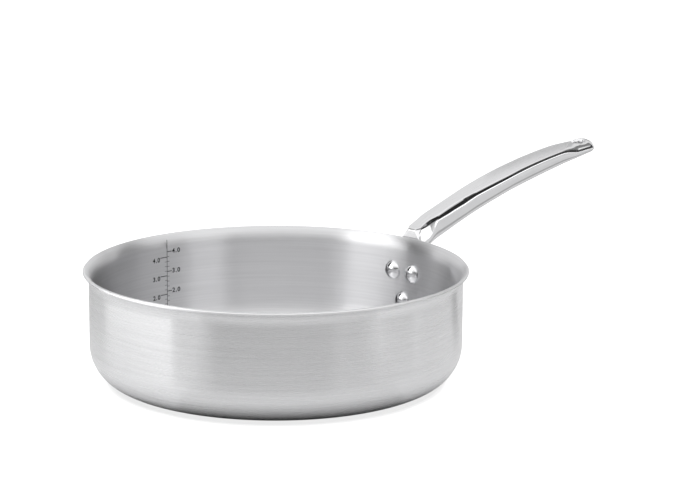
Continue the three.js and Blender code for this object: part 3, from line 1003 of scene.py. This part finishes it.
def number(text, along, height, align):
    """Points and faces of a number, with its middle at a height."""
    curve = bpy.data.curves.new("number", "FONT")
    curve.body = text
    curve.size = NUMBER_SIZE
    curve.offset = NUMBER_WEIGHT
    curve.space_character = NUMBER_SPACING
    curve.align_x = align
    curve.align_y = "CENTER"
    source = placed("number", curve)
    bpy.context.view_layer.update()
    mesh = source.to_mesh()
    flat = np.empty(len(mesh.vertices) * 3)
    mesh.vertices.foreach_get("co", flat)
    x, y, _ = flat.reshape(-1, 3).T
    faces = [list(face.vertices) for face in mesh.polygons]
    source.to_mesh_clear()
    bpy.data.objects.remove(source)
    return wrapped(x + along, y + height), faces

# %% Marks of the scale
SCALE_TOP = 84 * MM
SCALE_FOOT = 30 * MM
LINE_WIDTH = 0.4 * MM
LONG_WIDTH = 0.6 * MM
SHORT_WIDTH = 0.3 * MM
SHORT_MARK = 2.2 * MM
NUMBER_GAP = 0.4 * MM
TOP_NUMBER = 4
NUMBERED_STEPS = 3
PARTS_OF_STEP = 4
LITRES = dict(side=1, first=74.2 * MM, step=16.24 * MM, reach=4.6 * MM,
              drop=0, align="LEFT")
QUARTS = dict(side=-1, first=69.8 * MM, step=15.37 * MM, reach=6.8 * MM,
              drop=1.5 * MM, align="RIGHT")


def level_mark(side, reach, z, width):
    """A level mark from the edge of the upright line out to its reach."""
    return strip(*sorted((side * LINE_WIDTH / 2, side * reach)), z - width / 2, z + width / 2)


def scale_side(side, first, step, reach, drop, align):
    """One side of the scale: a long mark and a number at each step, and short marks between."""
    marks = []
    for count in range(NUMBERED_STEPS):
        z = first - count * step
        marks.append(level_mark(side, reach, z, LONG_WIDTH))
        label = f"{TOP_NUMBER - count}.0"
        marks.append(number(label, side * (reach + NUMBER_GAP), z - drop, align))
        for part in range(1, PARTS_OF_STEP):
            between = z - part * step / PARTS_OF_STEP
            marks.append(level_mark(side, SHORT_MARK, between, SHORT_WIDTH))
    return marks


upright = strip(-LINE_WIDTH / 2, LINE_WIDTH / 2, SCALE_FOOT, SCALE_TOP)
scale_marks = [upright, *scale_side(**LITRES), *scale_side(**QUARTS)]
print(len(scale_marks), "marks and numbers on the scale")

# %% Join the marks and etch them
PLATE_THICKNESS = 0.12 * MM
SPECK_SCALE = 900, 900, 900
OXIDE_COLOUR = 0.02, 0.02, 0.022
OXIDE_SWING = 0.4
OXIDE_ROUGHNESS = 0.5, 0.7


def joined(name, parts):
    """One piece of many parts: each part's faces are shifted by the points before it."""
    starts = np.cumsum([0] + [len(points) for points, _ in parts]).tolist()
    faces = [[v + start for v in face]
             for (_, part), start in zip(parts, starts) for face in part]
    mesh = bpy.data.meshes.new(name)
    mesh.from_pydata(np.concatenate([points for points, _ in parts]).tolist(), [], faces)
    return placed(name, mesh)


def etched(name):
    """Dark oxide of an etched mark, a little uneven."""
    material, tree, shader = new_finish(name)
    specks = scratches(tree, object_vector(tree), SPECK_SCALE)
    shade = shade_of(tree, specks, OXIDE_COLOUR, OXIDE_SWING)
    tree.links.new(shade, shader.inputs["Base Color"])
    dullness = map_range(tree, specks, NOISE_SPAN, OXIDE_ROUGHNESS)
    tree.links.new(dullness, shader.inputs["Roughness"])
    shader.inputs["Metallic"].default_value = 0
    return material


volume_scale = joined("volume_scale", scale_marks)
plate = volume_scale.modifiers.new("plate", "SOLIDIFY")
plate.thickness = PLATE_THICKNESS
plate.offset = -1
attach(volume_scale, "root")
dress(volume_scale, "inner_steel", etched("etched_mark"))
print(f"volume scale: {len(volume_scale.data.polygons)} faces")

# %% [markdown]
# ## Camera
#
# The camera looks down on the pan from the front left of the handle, from about two metres,
# with a long lens, as a catalogue photograph is taken. Its place is given round the pan: how
# far, how high and from which side. Its aim is given by how far it looks down and to the right.
# The Standard view shows each colour as it is written, so that white stays white.

# %% Set the camera
VIEW_TURN = math.radians(46.3)
CAMERA_REACH = 2.0968
CAMERA_LIFT = math.radians(14.276)
CAMERA_CENTRE_Z = 46.6 * MM
LOOK_DOWN = math.radians(12.731)
LOOK_RIGHT = math.radians(1.316)
CAMERA_ROLL = math.radians(0.29)
FOCAL_PIXELS = 2735.8
PICTURE_WIDTH = 675
SENSOR_WIDTH = 36

away = Vector((math.cos(VIEW_TURN), math.sin(VIEW_TURN), 0))
rightward = Vector((math.sin(VIEW_TURN), -math.cos(VIEW_TURN), 0))
upward = Vector((0, 0, 1))
ahead = math.cos(LOOK_DOWN) * (math.cos(LOOK_RIGHT) * away + math.sin(LOOK_RIGHT) * rightward)
ahead -= math.sin(LOOK_DOWN) * upward
level = math.cos(LOOK_RIGHT) * rightward - math.sin(LOOK_RIGHT) * away
raised = level.cross(ahead)
side = math.cos(CAMERA_ROLL) * level + math.sin(CAMERA_ROLL) * raised
top = math.cos(CAMERA_ROLL) * raised - math.sin(CAMERA_ROLL) * level
to_camera = math.sin(CAMERA_LIFT) * upward - math.cos(CAMERA_LIFT) * away
stand = CAMERA_CENTRE_Z * upward + CAMERA_REACH * to_camera

camera_data = bpy.data.cameras.new("camera")
camera_data.sensor_width = SENSOR_WIDTH
camera_data.lens = FOCAL_PIXELS / PICTURE_WIDTH * SENSOR_WIDTH
camera = placed("camera", camera_data)
aim = Matrix((side, top, -ahead)).transposed().to_4x4()
camera.matrix_world = Matrix.Translation(stand) @ aim
bpy.context.scene.camera = camera
bpy.context.scene.view_settings.view_transform = "Standard"
print(f"camera at {[round(v, 3) for v in stand]}, lens {camera_data.lens:.1f} mm")

# %% [markdown]
# ## The room that the steel shows
#
# Polished steel has hardly any colour of its own: it shows the room. So the room is what has
# to be built: a floor, a studio all round, soft panels that draw the bright stretches, and
# cards that draw the dark ones. A picture of a studio wrapped round the scene would be quicker,
# but then no single reflection could be moved. Places in the room are given as seen from the
# camera: how far to the right, how far back and how high.

# %% Helpers for light patterns
def smooth_step(tree, value, low, high):
    """From 0 below `low` to 1 above `high`, with soft ends."""
    return map_range(tree, value, (low, high), (0, 1), "SMOOTHSTEP")


def blended(tree, start, end, share):
    """start + share * (end - start), which goes from one value to the other."""
    return maths(tree, "ADD", maths(tree, "MULTIPLY", share, end - start), start)


def heading(turn):
    """A level direction, as a turn to the right from the way to the camera."""
    return math.sin(turn) * rightward - math.cos(turn) * away


def sector(tree, way, turn, edge):
    """1 inside a sector about a heading, 0 outside: the cosine from that heading is compared with
    two limits."""
    return smooth_step(tree, vector_maths(tree, "DOT_PRODUCT", way, heading(turn)), *edge)

# %% [markdown]
# ## The floor
#
# A white sheet carries the pan. The front wall reflects the sheet's near side, so the floor is
# greyer in front by painted shade, which stands for its lying away from the lights, and a little
# lighter to the right by painted light. Under the pan painted shadow makes it black, as in the
# narrow gap below the corner, and on the right one strip carries a painted shadow of the handle,
# for reflections alone, where it draws a grey streak on the wall.
#
# The floor is lit like any other surface, so it keeps the pan's shadow. For the camera it also
# gives off light of its own, which lifts it to white, and a ring of it gives off a little for
# reflections, which lights the foot of the wall.

# %% Shade of the floor, with painted shade, painted light and painted shadows
FLOOR_SHADE = 0.76
# Painted shade: the floor is greyer in front, in a sector about a heading.
FLOOR_FRONT_PAINTED_SHADE = 0.55
FLOOR_FRONT_TURN = math.radians(6.5)
FLOOR_FRONT_EDGE = 0.73, 0.78
# Painted light: the floor is a little lighter to the right.
FLOOR_PAINTED_RIGHT_LIGHT = 0.15
FLOOR_PAINTED_LIGHT_TURN = math.radians(60)
# Painted shadow of the handle: a strip of floor on the right, dimmed for reflections alone.
HANDLE_SHADOW_START = 0.22, 0.28
HANDLE_SHADOW_NEAR = -0.125, -0.105
HANDLE_SHADOW_FAR = -0.07, -0.05
HANDLE_SHADOW_DIM = 0.4
# Painted shadow under the pan: the floor's grey turns black towards the middle.
UNDER_PAN_PAINTED_SHADOW = WALL_RADIUS - 0.62 * CORNER_BEND, WALL_RADIUS - 0.22 * CORNER_BEND


def painted_handle_shadow(tree, place):
    """Painted shadow of the handle: 1 on a strip that starts at some X and lies between two soft
    limits of Y, else 0.
    """
    x, y, _ = axes(tree, place)
    near, far = (smooth_step(tree, y, *limits) for limits in (HANDLE_SHADOW_NEAR, HANDLE_SHADOW_FAR))
    across_strip = maths(tree, "SUBTRACT", near, far)
    return maths(tree, "MULTIPLY", across_strip, smooth_step(tree, x, *HANDLE_SHADOW_START))


def floor_grey_and_painted_shade(tree, place, reach, way, front, in_mirror):
    """Grey of the sheet: a product of its shade, painted shade in front, painted light to the
    right, the painted shadow of the handle and the painted shadow under the pan."""
    shade = blended(tree, FLOOR_SHADE, FLOOR_FRONT_PAINTED_SHADE, front)
    rightness = vector_maths(tree, "DOT_PRODUCT", way, heading(FLOOR_PAINTED_LIGHT_TURN))
    handle_shadow = maths(tree, "MULTIPLY", painted_handle_shadow(tree, place), in_mirror)
    for factor in (
        blended(tree, 1, 1 + FLOOR_PAINTED_RIGHT_LIGHT, rightness),
        blended(tree, 1, 1 - HANDLE_SHADOW_DIM, handle_shadow),
        smooth_step(tree, reach, *UNDER_PAN_PAINTED_SHADOW),
    ):
        shade = maths(tree, "MULTIPLY", shade, factor)
    return shade

# %% Glow of the floor
FLOOR_GLOW = 0.82
MIRROR_FRONT_GLOW = 0.3
MIRROR_SIDE_GLOW = 0.17
RING_INSIDE = WALL_RADIUS - 0.22 * CORNER_BEND, WALL_RADIUS + 0.3 * CORNER_BEND
RING_OUTSIDE = WALL_RADIUS, 2.2 * WALL_RADIUS


def floor_glow(tree, reach, front, in_camera, in_mirror):
    """Light of the sheet itself: all over it for the camera, on a ring round the pan for
    mirrors."""
    inside = smooth_step(tree, reach, *RING_INSIDE)
    outside = smooth_step(tree, reach, *RING_OUTSIDE)
    ring = maths(tree, "MULTIPLY", in_mirror, maths(tree, "SUBTRACT", inside, outside))
    mirror_glow = blended(tree, MIRROR_SIDE_GLOW, MIRROR_FRONT_GLOW, front)
    seen = maths(tree, "MULTIPLY", in_camera, FLOOR_GLOW)
    return maths(tree, "ADD", seen, maths(tree, "MULTIPLY", ring, mirror_glow))

# %% Lay the floor
FLOOR_HALF = 3.0
FLOOR_DROP = 0.2 * MM


def stage_floor():
    """A wide square just below the base."""
    mesh = bpy.data.meshes.new("floor")
    around = (-1, -1), (1, -1), (1, 1), (-1, 1)
    corners = [(x * FLOOR_HALF, y * FLOOR_HALF, -FLOOR_DROP) for x, y in around]
    mesh.from_pydata(corners, [], [(0, 1, 2, 3)])
    floor = placed("floor", mesh)
    return floor


def floor_white():
    """Matt white that keeps the shadow, with painted shade, painted light and painted shadows in
    its grey, and its own glow added.
    """
    material, tree, _ = new_finish("floor_white")
    tree.nodes.clear()
    path = tree.nodes.new("ShaderNodeLightPath").outputs
    in_camera, in_mirror = path["Is Camera Ray"], path["Is Glossy Ray"]
    place = object_vector(tree)
    reach = vector_maths(tree, "LENGTH", place)
    way = vector_maths(tree, "NORMALIZE", place)
    front = sector(tree, way, FLOOR_FRONT_TURN, FLOOR_FRONT_EDGE)
    matt = tree.nodes.new("ShaderNodeBsdfDiffuse")
    shade = floor_grey_and_painted_shade(tree, place, reach, way, front, in_mirror)
    tree.links.new(shade, matt.inputs["Color"])
    glow = tree.nodes.new("ShaderNodeEmission")
    strength = floor_glow(tree, reach, front, in_camera, in_mirror)
    tree.links.new(strength, glow.inputs["Strength"])
    both = tree.nodes.new("ShaderNodeAddShader")
    feed(tree, both.inputs, (matt.outputs["BSDF"], glow.outputs["Emission"]))
    output = tree.nodes.new("ShaderNodeOutputMaterial")
    tree.links.new(both.outputs["Shader"], output.inputs["Surface"])
    return material


stage_floor().data.materials.append(floor_white())
print(f"floor {2 * FLOOR_HALF:.0f} m wide")

# %% [markdown]
# ## The studio
#
# All round the pan hangs white cloth, brighter overhead than near the floor. Behind the pan it
# is an even, pale backdrop, and low down in front, on the camera's side, it is unlit. That dark
# stretch gives the front wall its grey. The camera itself sees plain white. A World shader does
# this with no mesh: it reads the direction of each ray and answers with a brightness.

# %% Studio round the pan
HORIZON_LEVEL = 0.4
LOW_LEVEL = 0.65
OVERHEAD_LEVEL = 1.25
LOW_RISE = 0.0, 0.2
HIGH_RISE = 0.22, 0.75
BACK_EDGE = 0.15, 0.55
BACK_LEVEL = 0.86, 0.9
BACK_RISE = 0.0, 0.5
FRONT_TURN = math.radians(-2.2)
FRONT_EDGE = 0.77, 0.81
FRONT_TOP = 0.25, 0.5
FRONT_LEVEL = 0.3


def cloth_level(tree, way, height):
    """Brightness with height: two rises on the cloth, and a slow one on the backdrop."""
    low = blended(tree, HORIZON_LEVEL, LOW_LEVEL, smooth_step(tree, height, *LOW_RISE))
    high = blended(tree, 0.0, OVERHEAD_LEVEL - LOW_LEVEL, smooth_step(tree, height, *HIGH_RISE))
    back = blended(tree, *BACK_LEVEL, smooth_step(tree, height, *BACK_RISE))
    behind = sector(tree, way, math.pi, BACK_EDGE)
    not_behind = maths(tree, "SUBTRACT", 1.0, behind)
    cloth = maths(tree, "MULTIPLY", maths(tree, "ADD", low, high), not_behind)
    return maths(tree, "ADD", cloth, maths(tree, "MULTIPLY", behind, back))


def unlit_front(tree, way, height):
    """Brightness factor: FRONT_LEVEL inside a sector in front and below a height, else 1."""
    inside = sector(tree, way, FRONT_TURN, FRONT_EDGE)
    below = maths(tree, "SUBTRACT", 1.0, smooth_step(tree, height, *FRONT_TOP))
    return blended(tree, 1.0, FRONT_LEVEL, maths(tree, "MULTIPLY", inside, below))


def studio_world():
    """The cloth with its unlit front; plain white to the camera."""
    world = bpy.data.worlds.new("studio")
    world.use_nodes = True
    tree = world.node_tree
    backdrop = tree.nodes["Background"]
    backdrop.inputs["Color"].default_value = (1, 1, 1, 1)
    way = tree.nodes.new("ShaderNodeTexCoord").outputs["Generated"]
    height = axes(tree, way)["Z"]
    level = maths(tree, "MULTIPLY", cloth_level(tree, way, height), unlit_front(tree, way, height))
    seen = tree.nodes.new("ShaderNodeLightPath").outputs["Is Camera Ray"]
    tree.links.new(maths(tree, "MAXIMUM", level, seen), backdrop.inputs["Strength"])
    return world


bpy.context.scene.world = studio_world()
print("studio brightness from", HORIZON_LEVEL, "at the horizon to", OVERHEAD_LEVEL, "overhead")

# %% [markdown]
# ## Soft panels
#
# Tall panels on the left light the wall there and draw the bright stretch beside its edge. They
# are cut into three heights, because the wall is brighter towards the lip. A dim one further
# back fills the dark beside it, and a low one far to the right lights the side of the grip. The
# camera doesn't see the panels, so they can't cover the pan from another side.

# %% Hang the panels
NEAR_BACK = -0.265, 0.115
PANELS = {
    "near_low": dict(right=-0.38, back=NEAR_BACK, height=(0.01, 0.12), level=0.55),
    "near_mid": dict(right=-0.38, back=NEAR_BACK, height=(0.12, 0.25), level=1.35),
    "near_high": dict(right=-0.38, back=NEAR_BACK, height=(0.25, 0.6), level=1.3),
    "far_low": dict(right=-0.385, back=(0.12, 0.3), height=(0.005, 0.125), level=0.15),
    "right_low": dict(right=0.74, back=(-0.1, 0.5), height=(0.05, 0.1), level=1.1),
}


def soft_panel(name, right, back, height, level):
    """An upright lamp that faces the pan. A lamp of even brightness L and area A gives off
    pi * L * A watts."""
    lamp = bpy.data.lights.new(name, "AREA")
    lamp.shape = "RECTANGLE"
    lamp.size, lamp.size_y = back[1] - back[0], height[1] - height[0]
    lamp.energy = math.pi * level * lamp.size * lamp.size_y
    light = placed(name, lamp)
    light.location = right * rightward + sum(back) / 2 * away + sum(height) / 2 * upward
    light.rotation_euler = (-right * rightward).to_track_quat("-Z", "Y").to_euler()
    light.visible_camera = False
    return lamp.energy


power = [soft_panel(name, **panel) for name, panel in PANELS.items()]
print(f"{len(power)} panels, {sum(power):.2f} W in all")

# %% [markdown]
# ## Cards
#
# In a white room, shiny metal loses its edges, so black card is hung where they should show.
# Cards on the right draw the black band along the grip and the dark line under its top's edge,
# and they step up with the grip's arch. A pale one hangs behind the tip. One on the left
# darkens the inner wall beside the rivets. The camera doesn't see the cards either.

# %% Hang the cards
CARD_ROUGHNESS = 0.9
CARDS = {
    "right_card": dict(right=0.75, back=(-0.03, 0.13), height=(0.11, 0.32), shade=0.012),
    "high_card": dict(right=0.75, back=(-0.37, -0.03), height=(0.19, 0.4), shade=0.012),
    "tip_card": dict(right=0.75, back=(0.13, 0.6), height=(0.11, 0.42), shade=0.06),
    "tip_high_card": dict(right=0.75, back=(0.35, 0.6), height=(0.42, 0.75), shade=0.3),
    "left_card": dict(right=-0.4, back=(0.12, 0.34), height=(0.13, 0.6), shade=0.012),
    "back_card": dict(right=(0.16, 0.42), back=0.475, height=(0.17, 0.36), shade=0.85),
}


def hung_card(name, right, back, height, shade):
    """An upright matt card. Either its place to the right or its distance back is a pair, from
    one end of the card to the other."""
    ends = list(np.broadcast(right, back))
    low, high = ([r * rightward + b * away + z * upward for r, b in ends] for z in height)
    mesh = bpy.data.meshes.new(name)
    mesh.from_pydata([*low, *reversed(high)], [], [(0, 1, 2, 3)])
    card = placed(name, mesh)
    material, _, shader = new_finish(name)
    shader.inputs["Base Color"].default_value = (shade, shade, shade, 1)
    shader.inputs["Roughness"].default_value = CARD_ROUGHNESS
    card.data.materials.append(material)
    card.visible_camera = False
    return card


cards = [hung_card(name, **card) for name, card in CARDS.items()]
print("cards:", ", ".join(card.name for card in cards))
